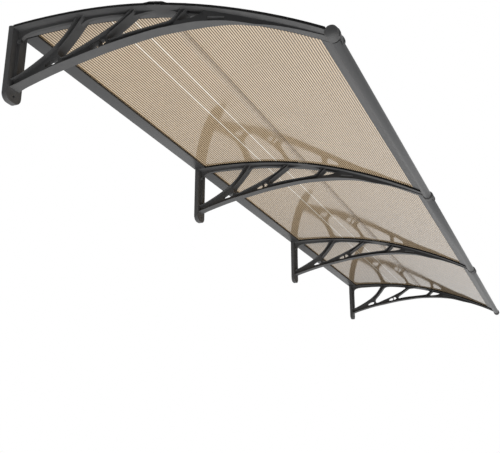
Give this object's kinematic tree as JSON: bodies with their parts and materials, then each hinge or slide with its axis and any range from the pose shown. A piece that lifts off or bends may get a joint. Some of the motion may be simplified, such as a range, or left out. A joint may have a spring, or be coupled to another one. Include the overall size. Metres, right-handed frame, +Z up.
{
  "type": "door awning",
  "caption": "Wall-mounted door awning with arched tinted sheets on moulded lattice brackets, a wall rail and a round-nosed front rail.",
  "frame": {"origin": "on the wall plane, at the middle of the middle rear rail's back face", "axes": "+X along the wall, +Y into the wall so that the awning reaches towards -Y, +Z up"},
  "size_m": [3.0658, 0.8454, 0.2517],
  "materials": {
    "bracket_plastic": "satin dark grey moulding",
    "rubber": "matte black",
    "rail_metal": "satin grey powder coat on aluminium",
    "tinted_sheet": "glossy translucent brown, fluted",
    "clear_strip": "glossy, nearly clear",
    "screw_steel": "zinc-plated"
  },
  "bodies": {
    "root": {"bracket_1": "bracket_plastic", "gasket_1": "rubber", "clamp_plate_1": "bracket_plastic", "clamp_screw_1_1": "screw_steel", "clamp_screw_1_2": "screw_steel", "bracket_2": "bracket_plastic", "gasket_2": "rubber", "clamp_plate_2": "bracket_plastic", "clamp_screw_2_1": "screw_steel", "clamp_screw_2_2": "screw_steel", "bracket_3": "bracket_plastic", "gasket_3": "rubber", "clamp_plate_3": "bracket_plastic", "clamp_screw_3_1": "screw_steel", "clamp_screw_3_2": "screw_steel", "bracket_4": "bracket_plastic", "gasket_4": "rubber", "clamp_plate_4": "bracket_plastic", "clamp_screw_4_1": "screw_steel", "clamp_screw_4_2": "screw_steel", "rail_end_cap_1": "bracket_plastic", "rail_end_cap_2": "bracket_plastic", "sheet_1": "tinted_sheet", "front_rail_1": "rail_metal", "rear_rail_1": "rail_metal", "rear_seal_1": "rubber", "centre_strip_1": "clear_strip", "sheet_2": "tinted_sheet", "front_rail_2": "rail_metal", "rear_rail_2": "rail_metal", "rear_seal_2": "rubber", "centre_strip_2": "clear_strip", "sheet_3": "tinted_sheet", "front_rail_3": "rail_metal", "rear_rail_3": "rail_metal", "rear_seal_3": "rubber", "centre_strip_3": "clear_strip"}
  },
  "joints": []
}
